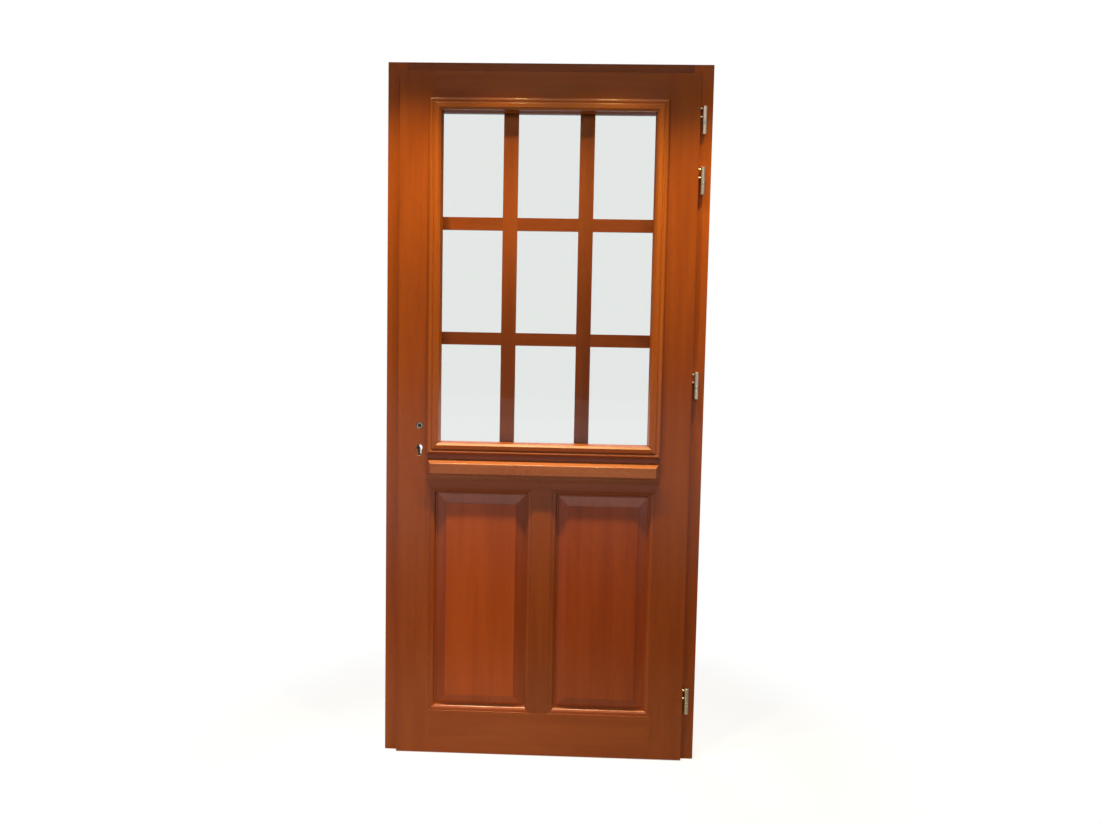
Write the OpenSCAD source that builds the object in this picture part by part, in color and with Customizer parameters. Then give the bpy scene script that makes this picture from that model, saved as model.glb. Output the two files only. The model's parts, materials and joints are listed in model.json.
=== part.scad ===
// Glazed wooden front door with its frame. Room side faces -Y, floor at z = 0,
// hinges on the right, the leaf opens towards the room.

/* [Frame] */
// Overall width of the frame
frame_w = 1000; // [960:1:1060]
// Overall height of the frame
frame_h = 2185; // [2160:1:2240]
// Depth of the frame from the room side to the outside
frame_depth = 70; // [66:1:80]
// Room-side width of a jamb, from its outer side to the rebate
jamb_w = 60; // [56:1:66]
// Room-side height of the head, from its top to the rebate
head_w = 51; // [47:1:58]
// How far the stop stands into the opening
stop_w = 15; // [13:1:18]
// Length of the tenons between head and jambs
head_tenon_l = 30; // [20:1:40]
// Thickness of the tenons between head and jambs
head_tenon_t = 16; // [12:1:20]
// Height of the threshold on the room side
sill_h = 20; // [16:1:24]
// How far the threshold falls towards the outside
sill_fall = 5; // [3:0.5:8]
// Wall of the hollow threshold section
sill_wall = 2.5; // [2:0.5:4]

/* [Leaf] */
// Thickness of the leaf
leaf_t = 58; // [56:1:62]
// Thickness of the lip that laps over the frame
lip_t = 18; // [16:1:20]
// How far the lip laps over the frame
lip_lap = 19; // [17:1:22]
// Gap between the lip and the room face of the frame
lip_gap = 4; // [3:0.5:5]
// Gap between the edge of the leaf and the rebate
side_gap = 4; // [3:0.5:5]
// Gap between the back of the leaf and the stop
stop_gap = 4; // [3:0.5:5]
// Gap between the lip and the floor
floor_gap = 4; // [3:0.5:8]
// Gap between the body of the leaf and the threshold
sill_gap = 8; // [6:0.5:10]
// Visible width of a stile, from the lip to the moulded edge
stile_w = 104; // [100:1:112]
// Height of the top rail
top_rail_h = 96; // [90:1:104]
// Height of the bottom rail
bottom_rail_h = 140; // [120:1:160]
// Underside of the middle rail above the floor
mid_rail_z = 870; // [850:1:885]
// Height of the middle rail
mid_rail_h = 116; // [110:1:122]
// Width of the mullion between the panels
mullion_w = 62; // [54:1:70]
// Length of the tenons on the rails and the mullion
tenon_l = 40; // [25:1:50]
// Thickness of the tenons on the rails and the mullion
tenon_t = 14; // [10:1:18]
// Shoulder left above and below a tenon
tenon_shoulder = 14; // [10:1:18]

/* [Panels] */
// Width of the moulded edge around a panel
stick_w = 21; // [19:1:24]
// Depth of the moulded edge
stick_depth = 14; // [12:0.5:15]
// Square step at the outer side of the moulded edge
stick_step = 2; // [1:0.5:3]
// Flat between that step and the round
stick_flat = 4; // [3:0.5:5]
// Thickness of the panel's tongue and of its groove
tongue_t = 27; // [25:0.5:28]
// Depth of the panel groove
groove_d = 12; // [10:0.5:14]
// Gap left for the wood to move at the bottom of the groove
panel_gap = 2; // [1:0.5:3]
// Width of the bevelled border
bevel_w = 30; // [24:1:34]
// Rise of the bevelled border
bevel_rise = 9; // [7:0.5:10]
// Step from the bevelled border up to the field
field_step = 2; // [1:0.5:3]

/* [Glazing] */
// Thickness of one pane
pane_t = 4; // [3:0.5:5]
// Space between the two panes
cavity_t = 16; // [12:1:18]
// Gap around the glass in its rebate
glass_gap = 5; // [4:0.5:6]
// Thickness of the outer lip that the glass bears on
far_lip_t = 14; // [12:1:16]
// Width of the outer lip at the sides
far_lip_side = 22.5; // [20:0.5:25]
// Width of the outer lip at the top
far_lip_top = 18; // [15:0.5:22]
// Width of the outer lip at the bottom
far_lip_bottom = 16; // [14:0.5:20]
// Width of the spacer between the panes
spacer_w = 6; // [5:0.5:7]
// Setback of the spacer from the edge of the panes
spacer_inset = 3; // [2:0.5:4]
// Length of a setting block
block_l = 100; // [60:5:120]
// Width of the upright glazing bars
bar_upright_w = 46; // [36:1:52]
// Width of the level glazing bars
bar_level_w = 40; // [32:1:48]
// Bevel on the outer edges of the glazing bars
bar_bevel = 6; // [4:0.5:8]

/* [Glazing beads] */
// Visible width of a bead
bead_w = 36; // [34:1:38]
// Radius of the outer roll, which is also the height of the base
bead_roll_r = 6.5; // [5.5:0.5:7]
// Width of the hollow between the roll and the inner band
bead_hollow_w = 2; // [1.5:0.5:4]
// Depth of the hollow, which is also the radius of the band's shoulder
bead_hollow_d = 3; // [2:0.5:4]
// Width of the slope from the inner band down to the inner edge
bead_slope_w = 7; // [5:0.5:8]
// Slope of the inner edge towards the glass
bead_splay = 4; // [2:0.5:6]
// How far a side bead laps over its stile
bead_lap_side = 11; // [8:0.5:14]
// How far the top bead laps over the top rail
bead_lap_top = 16; // [12:0.5:20]
// How far the bottom bead laps over the middle rail
bead_lap_bottom = 10; // [6:0.5:12]

/* [Dado moulding] */
// Underside of the moulding above that of the middle rail
dado_rise = 25; // [20:1:30]
// Half of its length at the back
dado_half_l = 366; // [340:1:376]
// How far it stands out of the leaf
dado_proud = 22; // [18:1:26]
// Height of the face from the cove below it to the centre of the nose
dado_face_h = 30; // [26:1:33]
// Radius of the nose
dado_nose_r = 4; // [3:0.5:5]
// Slope of the top in degrees
dado_slope = 30; // [22:1:34]
// How much each end is cut back at the front
dado_end_cut = 12; // [8:1:18]
// Thickness of the foot of the cove under the face
dado_foot = 1; // [0.5:0.5:2]

/* [Hinges] */
// Diameter of the barrel
barrel_d = 14; // [13:0.5:15]
// Distance of the hinge axis from the edge of the lip
hinge_offset = 14; // [13:0.5:16]
// Length of the knuckle on the leaf
upper_l = 45; // [42:1:50]
// Length of the bearing ring
ring_l = 10; // [8:0.5:12]
// Length of the knuckle on the frame
lower_l = 29; // [26:1:34]
// Diameter of the hinge pin
pin_d = 8; // [7:0.5:8.5]
// Radial running clearance of the pin
pin_play = 0.05; // [0.03:0.01:0.08]
// Diameter of the arms that screw into the wood
arm_d = 5.5; // [5:0.5:6.5]
// How deep the arms go into the wood
arm_grip = 40; // [30:1:45]
// Distance of the outer arm from the end of its knuckle
arm_inset = 7; // [6:0.5:8]
// Distance between the two arms on the leaf
upper_arm_pitch = 25; // [22:1:27]
// Distance between the two arms on the frame
lower_arm_pitch = 15; // [12:1:17]
// Solid end of a knuckle beyond the pin
knuckle_end = 5; // [4:0.5:6]
// Bevel on the edges of knuckles and rings
edge_bevel = 0.8; // [0.5:0.1:1.2]
// Room around the arms in the wood
arm_play = 0.1; // [0.05:0.05:0.2]
// Gap between the bearing ring and the knuckle on the leaf
ring_play = 0.2; // [0.1:0.05:0.3]
// Middle of the top hinge below the top of the leaf
hinge_top_drop = 137; // [110:1:160]
// Distance between the top hinge and the second one
hinge_second_drop = 182; // [150:1:220]
// Middle of the third hinge above the middle rail
hinge_middle_rise = 221; // [160:1:300]
// Middle of the bottom hinge above the foot of the leaf
hinge_bottom_rise = 192; // [160:1:230]

/* [Lock] */
// Height of the spindle
spindle_z = 1065; // [1050:1:1080]
// Distance between spindle and cylinder
lock_centres = 70; // [68:1:74]
// Distance of the spindle from the edge of the leaf
backset = 45; // [42:1:48]
// Depth of the lock case behind the edge of the leaf
case_depth = 75; // [72:1:78]
// Thickness of the lock case
case_t = 15; // [14:0.5:16]
// Sheet thickness of the lock case
sheet_t = 1.5; // [1:0.25:2]
// Case height above the spindle
case_above = 58; // [52:1:64]
// Case height below the cylinder
case_below = 62; // [56:1:66]
// Thickness of faceplate and strike plate
face_t = 3; // [2.5:0.5:4]
// Width of faceplate and strike plate
face_w = 20; // [18:1:22]
// Length of the faceplate beyond the case at each end
face_ear = 24; // [20:1:30]
// Thickness of latch bolt and dead bolt
bolt_t = 11; // [10:0.5:11.5]
// Height of the latch bolt
latch_h = 20; // [16:1:22]
// Height of the latch bolt's centre above the spindle
latch_rise = 25; // [24:0.5:27]
// How far the latch bolt stands out
latch_throw = 12; // [10:0.5:12]
// Height of the dead bolt
dead_h = 22; // [18:1:24]
// Height of the dead bolt's centre below the spindle
dead_drop = 38; // [36:0.5:40]
// Travel of the dead bolt
dead_throw = 20; // [14:1:20]
// Length of the dead bolt
dead_l = 40; // [36:1:42]
// Play around the bolts in the plates
bolt_play = 0.4; // [0.3:0.1:0.6]
// Radius of the follower's hub
hub_r = 9; // [8:0.5:9.5]
// Depth of the end of the follower's neck below the face of the leaf
neck_inset = 3; // [2:0.5:5]
// Width of the square hole for the spindle
square_w = 7.2; // [7:0.1:8]
// Radius at which the follower's arm bears on the latch
lever_r = 19; // [18:0.5:19.5]
// Radius of the round tip of the follower's arm
tip_r = 4; // [3:0.5:4]
// Gap between that tip and the latch tail at rest
tip_gap = 1; // [0.8:0.1:1.5]
// Radius of the round part of the cylinder hole in the case
profile_r = 8.75; // [8.5:0.25:9]
// Width of the narrow part of the cylinder hole in the case
profile_slot = 10.5; // [10:0.25:11]
// Height of the cylinder hole in the case
profile_h = 33.5; // [32:0.5:35]
// Extra room of the cylinder hole in the wood
profile_room = 1.25; // [0.75:0.25:2]
// Radius of the spindle hole in the wood
spindle_hole_r = 10.5; // [10:0.25:12]
// Diameter of the screw heads in the plates
screw_head_d = 7; // [6:0.5:8]
// Diameter of the screw shanks
screw_d = 3.6; // [3:0.2:4]
// Length of the screws
screw_l = 24; // [18:1:30]
// Distance of the screws from the ends of the plates
screw_inset = 9; // [8:0.5:12]
// Length of the strike plate beyond the bolt holes at each end
strike_ear = 24; // [20:1:30]
// Depth left behind the bolts in the jamb
keep_room = 2; // [1:0.5:4]
// Length of the latch head behind the edge of the leaf
latch_root = 7; // [5:0.5:9]
// Blunt nose of the latch bolt
latch_nose = 3; // [2:0.5:4]
// Height of the latch tail
tail_h = 8; // [6:0.5:8]
// Thickness of latch tail and follower arm
tail_t = 6; // [4:0.5:7]
// Length of the lug that the follower pushes
lug_l = 6; // [5:0.5:6.5]
// How far the lug reaches below the middle of the latch
lug_drop = 14; // [12:0.5:15]
// How far the follower's collar stands out of its hub
collar_w = 2; // [1.5:0.25:2.5]
// Play of the collar between the plates
collar_play = 0.3; // [0.2:0.05:0.4]
// Radial running clearance of the hub in the plates
hub_play = 0.05; // [0.03:0.01:0.08]
// Room around the lock case in the wood
case_play = 0.5; // [0.3:0.1:0.8]
// Room at the ends of the latch spring
spring_play = 0.1; // [0.05:0.05:0.2]
// Outer diameter of the latch spring
spring_d = 8; // [7:0.5:9]
// Wire diameter of the latch spring
wire_d = 1; // [0.8:0.1:1.2]
// Turns of the latch spring
spring_turns = 6; // [5:1:7]

/* [Seals] */
// Width of a gasket's foot
gasket_w = 8; // [7:0.5:9]
// Thickness of a gasket's foot
gasket_foot = 1.5; // [1:0.25:2]
// Thickness of the seal under the leaf
seal_t = 8; // [6:0.5:10]
// Clearance that a seal keeps from what closes on it
seal_play = 0.3; // [0.2:0.05:0.4]

/* [Hidden] */
$fn = 48;

wood = "#9c4f22";
bar_wood = "#a8571f";
steel = "#b9b3aa";
plated = "#c9c2b8";
rubber = "#2a2623";
aluminium = "#9a9690";

// Room that a cut takes beyond the solid it cuts
over = 1;

// Depth planes, from the room side to the outside
room_y = -frame_depth / 2;
out_y = frame_depth / 2;
lip_back = room_y - lip_gap;
face_y = lip_back - lip_t;
back_y = face_y + leaf_t;
mid_y = face_y + leaf_t / 2;
stop_y = back_y + stop_gap;
glass_out_y = back_y - far_lip_t;
glass_in_y = glass_out_y - 2 * pane_t - cavity_t;
lock_y = (lip_back + back_y) / 2;

// Lines of the frame
half_w = frame_w / 2;
rebate_x = half_w - jamb_w;
stop_x = rebate_x - stop_w;
head_z = frame_h - head_w;
stop_z = head_z - stop_w;

// Lines of the leaf
lip_x = rebate_x + lip_lap;
lip_top = head_z + lip_lap;
lip_bottom = floor_gap;
body_x = rebate_x - side_gap;
body_top = head_z - side_gap;
body_bottom = sill_h + sill_gap;
stile_x = lip_x - stile_w;
mull_x = mullion_w / 2;
panel_z0 = lip_bottom + bottom_rail_h;
panel_z1 = mid_rail_z;
glass_z0 = mid_rail_z + mid_rail_h;
glass_z1 = lip_top - top_rail_h;
far_x = stile_x - far_lip_side;
far_z0 = glass_z0 + far_lip_bottom;
far_z1 = glass_z1 - far_lip_top;
tongue_l = groove_d - panel_gap;

// Lines of the beads
bead_x = stile_x + bead_lap_side;
bead_z0 = glass_z0 - bead_lap_bottom;
bead_z1 = glass_z1 + bead_lap_top;
bead_proud = 2 * bead_roll_r;
bead_reach = bead_w + bead_splay;
dado_cove_r = dado_proud - dado_foot;

// Centres of the glazing bars, at equal panes
bar_x = (2 * far_x + bar_upright_w) / 6;
bar_pitch_z = (far_z1 - far_z0 + bar_level_w) / 3;
bar_lower_z = far_z0 + bar_pitch_z - bar_level_w / 2;
bar_upper_z = bar_lower_z + bar_pitch_z;
bar_mid_y = (glass_out_y + back_y) / 2;

// Hinge axis and lengths
hinge_x = lip_x + hinge_offset;
hinge_y = (face_y + lip_back) / 2;
hinge_l = upper_l + ring_l + lower_l;
barrel_r = barrel_d / 2;
pin_r = pin_d / 2;
arm_start = (pin_r + barrel_r) / 2;
hinge_top_z = lip_top - hinge_top_drop;
hinge_second_z = hinge_top_z - hinge_second_drop;
hinge_middle_z = glass_z0 + hinge_middle_rise;
hinge_bottom_z = lip_bottom + hinge_bottom_rise;
hinge_zs = [hinge_top_z, hinge_second_z, hinge_middle_z, hinge_bottom_z];

// Lock lines
edge_x = -body_x;
spindle_x = edge_x + backset;
cylinder_z = spindle_z - lock_centres;
case_x0 = edge_x + face_t;
case_x1 = edge_x + case_depth;
case_z0 = cylinder_z - case_below;
case_z1 = spindle_z + case_above;
face_z0 = case_z0 - face_ear;
face_z1 = case_z1 + face_ear;
latch_z = spindle_z + latch_rise;
dead_z = spindle_z - dead_drop;
lug_x = spindle_x + tip_r + tip_gap;
collar_r = hub_r + collar_w;
strike_x = -rebate_x;
strike_z0 = dead_z - dead_h / 2 - strike_ear;
strike_z1 = latch_z + latch_h / 2 + strike_ear;

// Lines of the gaskets
gasket_x = stop_x + (stop_w - side_gap - gasket_w) / 2;
gasket_z = stop_z + (stop_w - side_gap - gasket_w) / 2;
bulb_r = (stop_gap - seal_play) / 2;

// Edges of the panes
pane_x = stile_x - glass_gap;
pane_z0 = glass_z0 + glass_gap;
pane_z1 = glass_z1 - glass_gap;

// Lower and upper ends of the tenons of the three rails
mid_tenon = [mid_rail_z + tenon_shoulder, case_z0 - tenon_shoulder];
top_tenon = [glass_z1 + tenon_shoulder, body_top - tenon_shoulder];
bottom_tenon = [body_bottom + tenon_shoulder, panel_z0 - tenon_shoulder];

// A rectangle between two corners
module rect(a0, a1, b0, b1) {
  translate([a0, b0]) square([a1 - a0, b1 - b0]);
}

// A section in x and y, drawn upright from z0 to z1
module upright(z0, z1) {
  translate([0, 0, z0]) linear_extrude(height = z1 - z0) children();
}

// A section in y and z, drawn level from x0 to x1
module level(x0, x1) {
  translate([x0, 0, 0]) rotate([90, 0, 90]) linear_extrude(height = x1 - x0) children();
}

// An outline in x and z, drawn through the depth from y0 to y1
module board(y0, y1) {
  translate([0, y1, 0]) rotate([90, 0, 0]) linear_extrude(height = y1 - y0) children();
}

// A block between two corners
module block(x0, x1, y0, y1, z0, z1) {
  translate([x0, y0, z0]) cube([x1 - x0, y1 - y0, z1 - z0]);
}

// A round bar along x from x0 to x1
module rod_x(x0, x1, y, z, r) {
  translate([x0, y, z]) rotate([0, 90, 0]) cylinder(r = r, h = x1 - x0);
}

// A round bar along y from y0 to y1
module rod_y(y0, y1, x, z, r) {
  translate([x, y0, z]) rotate([-90, 0, 0]) cylinder(r = r, h = y1 - y0);
}

// Frame

module head_tenon() {
  block(rebate_x - over, rebate_x + head_tenon_l, -head_tenon_t / 2, head_tenon_t / 2,
        head_z + tenon_shoulder, frame_h - tenon_shoulder);
}

module jamb() {
  difference() {
    union() {
      upright(0, frame_h) rect(rebate_x, half_w, room_y, out_y);
      upright(0, head_z) rect(stop_x, rebate_x + over, stop_y, out_y);
    }
    head_tenon();
  }
}

module jamb_left() {
  color(wood) difference() {
    mirror([1, 0, 0]) jamb();
    block(strike_x - face_t, strike_x + over, lock_y - face_w / 2, lock_y + face_w / 2,
          strike_z0, strike_z1);
    keep(latch_z, latch_h, latch_throw);
    keep(dead_z, dead_h, dead_throw);
    strike_screw_places() plate_screw(0);
  }
}

// Pocket in the jamb behind a hole of the strike plate
module keep(z, h, throw) {
  block(strike_x - throw - keep_room, strike_x + over,
        lock_y - bolt_t / 2 - bolt_play, lock_y + bolt_t / 2 + bolt_play,
        z - h / 2 - bolt_play, z + h / 2 + bolt_play);
}

module jamb_right() {
  color(wood) difference() {
    jamb();
    for (z = hinge_zs)
      lower_arms(z, arm_d / 2 + arm_play, arm_grip + over);
  }
}

module frame_head() {
  color(wood) {
    level(-rebate_x, rebate_x) rect(room_y, out_y, head_z, frame_h);
    level(-stop_x, stop_x) rect(stop_y, out_y, stop_z, head_z + over);
    for (side = [0, 1]) mirror([side, 0, 0]) head_tenon();
  }
}

// Hollow section, flat under the leaf and falling to the outside
module threshold() {
  color(aluminium) difference() {
    union() {
      level(-rebate_x, rebate_x) rect(room_y, stop_y, 0, sill_h);
      level(-stop_x, stop_x)
        polygon([[stop_y - over, 0], [out_y, 0], [out_y, sill_h - sill_fall], [stop_y, sill_h],
                 [stop_y - over, sill_h]]);
    }
    for (y = [room_y + sill_wall, (room_y + stop_y + sill_wall) / 2])
      level(-rebate_x - over, rebate_x + over)
        rect(y, y + (stop_y - room_y - 3 * sill_wall) / 2, sill_wall, sill_h - sill_wall);
  }
}

// A flat foot with a round bulb that meets the leaf
module gasket_section() {
  rect(0, gasket_w, -gasket_foot, 0);
  translate([gasket_w / 2, seal_play - stop_gap + bulb_r]) circle(r = bulb_r);
}

module gasket_right() {
  color(rubber) upright(sill_h, gasket_z)
    intersection() {
      translate([gasket_x, stop_y]) gasket_section();
      rect(gasket_x, gasket_x + gasket_w, back_y, stop_y);
    }
}

module gasket_left() {
  mirror([1, 0, 0]) gasket_right();
}

module gasket_head() {
  color(rubber) level(-gasket_x - gasket_w, gasket_x + gasket_w)
    intersection() {
      translate([stop_y, gasket_z]) mirror([0, 1]) rotate(-90) gasket_section();
      rect(back_y, stop_y, gasket_z, gasket_z + gasket_w);
    }
}

// Countersunk screw in a plate, its head at x = 0 and its shank along -x, widened by play
module plate_screw(play) {
  rotate([0, -90, 0]) {
    translate([0, 0, screw_l / 2]) cylinder(r = screw_d / 2 + play, h = screw_l, center = true);
    cylinder(r1 = screw_head_d / 2 + play, r2 = screw_d / 2 + play, h = face_t);
  }
}

module strike_screw_places() {
  for (z = [strike_z0 + screw_inset, strike_z1 - screw_inset])
    translate([strike_x, lock_y, z]) children();
}

module strike_plate() {
  color(steel) difference() {
    block(strike_x - face_t, strike_x, lock_y - face_w / 2, lock_y + face_w / 2,
          strike_z0, strike_z1);
    keep(latch_z, latch_h, latch_throw);
    keep(dead_z, dead_h, dead_throw);
    strike_screw_places() plate_screw(0);
  }
}

module strike_screws() {
  color(steel) strike_screw_places() plate_screw(0);
}

// Leaf timbers

// Material taken off beside a panel on one face: a step, a flat and a quarter round
module stick_cut() {
  rect(0, stick_w + over, -over, stick_step);
  difference() {
    rect(stick_flat, stick_w + over, -over, stick_depth);
    translate([stick_flat, stick_depth]) circle(r = stick_depth - stick_step);
  }
}

// Everything cut along a timber's edge beside a panel, from the edge (u) and the face (w)
module panel_edge() {
  stick_cut();
  translate([0, leaf_t]) mirror([0, 1]) stick_cut();
  rect(stick_w - groove_d, stick_w + over, (leaf_t - tongue_t) / 2, (leaf_t + tongue_t) / 2);
}

// Outline of the moulded strip on one side of a panel, mitred at both ends
module strip_upright(x, inward) {
  polygon([[x - inward * over, panel_z0], [x - inward * over, panel_z1], [x, panel_z1],
           [x + inward * stick_w, panel_z1 - stick_w], [x + inward * stick_w, panel_z0 + stick_w],
           [x, panel_z0]]);
}

module strip_level(z, inward) {
  polygon([[mull_x, z - inward * over], [stile_x, z - inward * over], [stile_x, z],
           [stile_x - stick_w, z + inward * stick_w], [mull_x + stick_w, z + inward * stick_w],
           [mull_x, z]]);
}

// Outline of the outer glazing lip on a rail, mitred at both ends
module far_lip_level(z, far_z, inward) {
  polygon([[-stile_x, z - inward * over], [stile_x, z - inward * over], [stile_x, z],
           [far_x, far_z], [-far_x, far_z], [-stile_x, z]]);
}

// The same on a stile
module far_lip_upright() {
  polygon([[stile_x + over, glass_z0], [stile_x + over, glass_z1], [stile_x, glass_z1],
           [far_x, far_z1], [far_x, far_z0], [stile_x, glass_z0]]);
}

module rail_tenon(span) {
  block(stile_x - over, stile_x + tenon_l, mid_y - tenon_t / 2, mid_y + tenon_t / 2,
        span[0], span[1]);
}

module rail_tenons(span) {
  for (side = [0, 1]) mirror([side, 0, 0]) rail_tenon(span);
}

module stile() {
  difference() {
    union() {
      board(face_y, lip_back) rect(stile_x, lip_x, lip_bottom, lip_top);
      board(lip_back - over, back_y) rect(stile_x, body_x, body_bottom, body_top);
      board(glass_out_y, back_y) far_lip_upright();
      board(face_y, back_y) strip_upright(stile_x, -1);
    }
    upright(panel_z0, panel_z1) translate([stile_x, face_y]) mirror([1, 0]) panel_edge();
    for (span = [top_tenon, mid_tenon, bottom_tenon]) rail_tenon(span);
  }
}

module stile_hinge() {
  color(wood) difference() {
    stile();
    for (z = hinge_zs)
      upper_arms(z, arm_d / 2 + arm_play, arm_grip + over);
  }
}

module stile_lock() {
  color(wood) difference() {
    mirror([1, 0, 0]) stile();
    block(edge_x - over, case_x0, lock_y - face_w / 2, lock_y + face_w / 2, face_z0, face_z1);
    block(edge_x - over, case_x1 + case_play, lock_y - case_t / 2 - case_play,
          lock_y + case_t / 2 + case_play, case_z0 - case_play, case_z1 + case_play);
    rod_y(face_y - over, back_y + over, spindle_x, spindle_z, spindle_hole_r);
    board(face_y - over, back_y + over) profile_hole(profile_room);
    faceplate_screw_places() plate_screw(0);
  }
}

module rail_top() {
  color(wood) {
    board(face_y, lip_back) rect(-stile_x, stile_x, glass_z1, lip_top);
    board(lip_back - over, back_y) rect(-stile_x, stile_x, glass_z1, body_top);
    board(glass_out_y, back_y) far_lip_level(glass_z1, far_z1, -1);
    rail_tenons(top_tenon);
  }
}

module rail_middle() {
  color(wood) difference() {
    union() {
      board(face_y, back_y) rect(-stile_x, stile_x, mid_rail_z, glass_z0);
      board(glass_out_y, back_y) far_lip_level(glass_z0, far_z0, 1);
      for (side = [0, 1]) mirror([side, 0, 0]) board(face_y, back_y) strip_level(panel_z1, -1);
      rail_tenons(mid_tenon);
    }
    level(-stile_x, stile_x) translate([face_y, panel_z1]) rotate(-90) panel_edge();
    mullion_tenons();
  }
}

module rail_bottom() {
  color(wood) difference() {
    union() {
      board(face_y, lip_back) rect(-stile_x, stile_x, lip_bottom, panel_z0);
      board(lip_back - over, back_y) rect(-stile_x, stile_x, body_bottom, panel_z0);
      for (side = [0, 1]) mirror([side, 0, 0]) board(face_y, back_y) strip_level(panel_z0, 1);
      rail_tenons(bottom_tenon);
    }
    level(-stile_x, stile_x) translate([face_y, panel_z0]) mirror([0, 1]) rotate(-90) panel_edge();
    mullion_tenons();
  }
}

module mullion_tenons() {
  for (z = [panel_z0, panel_z1])
    block(-mull_x / 2, mull_x / 2, mid_y - tenon_t / 2, mid_y + tenon_t / 2,
          z - tenon_l, z + tenon_l);
}

module mullion() {
  color(wood) {
    difference() {
      board(face_y, back_y) {
        rect(-mull_x, mull_x, panel_z0, panel_z1);
        for (side = [0, 1]) mirror([side, 0]) strip_upright(mull_x, 1);
      }
      for (side = [0, 1]) mirror([side, 0, 0])
        upright(panel_z0, panel_z1) translate([mull_x, face_y]) panel_edge();
    }
    mullion_tenons();
  }
}

// Raised panel: the same bevelled section taken across and upwards

function panel_half(a0, a1) =
  let (edge = tongue_t / 2,
       brow = edge + bevel_rise,
       field = brow + field_step,
       b = tongue_l,
       c = tongue_l + bevel_w)
  [[a0, edge], [a0 + b, edge], [a0 + c, brow], [a0 + c, field],
   [a1 - c, field], [a1 - c, brow], [a1 - b, edge], [a1, edge]];

module panel_section(a0, a1) {
  points = panel_half(a0, a1);
  last = len(points) - 1;
  polygon(concat([for (p = points) [p[0], mid_y - p[1]]],
                 [for (i = [last : -1 : 0]) [points[i][0], mid_y + points[i][1]]]));
}

module panel_right() {
  x0 = mull_x + stick_w - tongue_l;
  x1 = stile_x - stick_w + tongue_l;
  z0 = panel_z0 + stick_w - tongue_l;
  z1 = panel_z1 - stick_w + tongue_l;
  color(wood) intersection() {
    upright(z0, z1) panel_section(x0, x1);
    level(x0, x1) mirror([1, -1]) panel_section(z0, z1);
  }
}

module panel_left() {
  mirror([1, 0, 0]) panel_right();
}

// Glazing beads

// Front of a bead from its outer edge (u), standing out of the face (negative w)
module bead_front() {
  floor_w = bead_hollow_d - bead_proud;
  band0 = 2 * bead_roll_r + bead_hollow_w + bead_hollow_d;
  band1 = bead_w - bead_slope_w;
  rect(0, bead_roll_r, -bead_roll_r, 0);
  for (round = [[bead_roll_r, -bead_roll_r, bead_roll_r], [band0, floor_w, bead_hollow_d]])
    translate([round[0], round[1]]) circle(r = round[2]);
  polygon([[bead_roll_r, 0], [bead_roll_r, floor_w], [band0, floor_w], [band0, -bead_proud],
           [band1, -bead_proud], [bead_w, bead_slope_w - bead_proud], [bead_w, 0]]);
}

// Tongue of a bead, from the face down to the glass
module bead_tongue(lap) {
  deep = glass_in_y - face_y;
  polygon([[lap, 0], [bead_w, 0], [bead_reach, deep], [lap, deep]]);
}

module bead_right() {
  color(wood) intersection() {
    union() {
      upright(bead_z0, bead_z1) translate([bead_x, face_y]) mirror([1, 0]) bead_front();
      upright(glass_z0, glass_z1) translate([bead_x, face_y]) mirror([1, 0])
        bead_tongue(bead_lap_side);
    }
    board(face_y - bead_proud, glass_in_y)
      polygon([[bead_x, bead_z0], [bead_x, bead_z1], [bead_x - bead_reach, bead_z1 - bead_reach],
               [bead_x - bead_reach, bead_z0 + bead_reach]]);
  }
}

module bead_left() {
  mirror([1, 0, 0]) bead_right();
}

module bead_level(z, inward, lap) {
  intersection() {
    union() {
      level(-bead_x, bead_x) translate([face_y, z]) turn_section(inward) bead_front();
      level(-stile_x, stile_x) translate([face_y, z]) turn_section(inward) bead_tongue(lap);
    }
    board(face_y - bead_proud, glass_in_y)
      polygon([[-bead_x, z], [bead_x, z], [bead_x - bead_reach, z + inward * bead_reach],
               [bead_reach - bead_x, z + inward * bead_reach]]);
  }
}

// Turns a section of edge and face distances to y and z, up or down
module turn_section(inward) {
  if (inward > 0) mirror([0, 1]) rotate(-90) children();
  else rotate(-90) children();
}

module bead_top() {
  color(wood) bead_level(bead_z1, -1, bead_lap_top);
}

module bead_bottom() {
  color(wood) bead_level(bead_z0, 1, bead_lap_bottom);
}

// Dado moulding with a cove below, a rounded nose and a sloped top

module dado_section() {
  nose = [dado_proud - dado_nose_r, dado_cove_r + dado_face_h];
  brow = nose + dado_nose_r * [sin(dado_slope), cos(dado_slope)];
  difference() {
    polygon([[0, 0], [dado_proud, 0], [dado_proud, nose[1]], nose, brow,
             [0, brow[1] + brow[0] * tan(dado_slope)]]);
    translate([dado_proud, 0]) circle(r = dado_cove_r);
  }
  translate(nose) circle(r = dado_nose_r);
}

module dado_moulding() {
  front = dado_half_l - dado_end_cut;
  color(wood) intersection() {
    level(-dado_half_l, dado_half_l)
      translate([face_y, mid_rail_z + dado_rise]) mirror([1, 0]) dado_section();
    upright(mid_rail_z, glass_z0 + dado_proud)
      polygon([[-dado_half_l, face_y], [dado_half_l, face_y], [front, face_y - dado_proud],
               [-front, face_y - dado_proud]]);
  }
}

// Glass

module glass_inner() {
  color("lightblue", 0.4) board(glass_in_y, glass_in_y + pane_t)
    rect(-pane_x, pane_x, pane_z0, pane_z1);
}

module glass_outer() {
  color("lightblue", 0.4) board(glass_out_y - pane_t, glass_out_y)
    rect(-pane_x, pane_x, pane_z0, pane_z1);
}

module glass_spacer() {
  outer = spacer_inset;
  inner = spacer_inset + spacer_w;
  color(rubber) board(glass_in_y + pane_t, glass_out_y - pane_t) difference() {
    rect(-pane_x + outer, pane_x - outer, pane_z0 + outer, pane_z1 - outer);
    rect(-pane_x + inner, pane_x - inner, pane_z0 + inner, pane_z1 - inner);
  }
}

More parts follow.
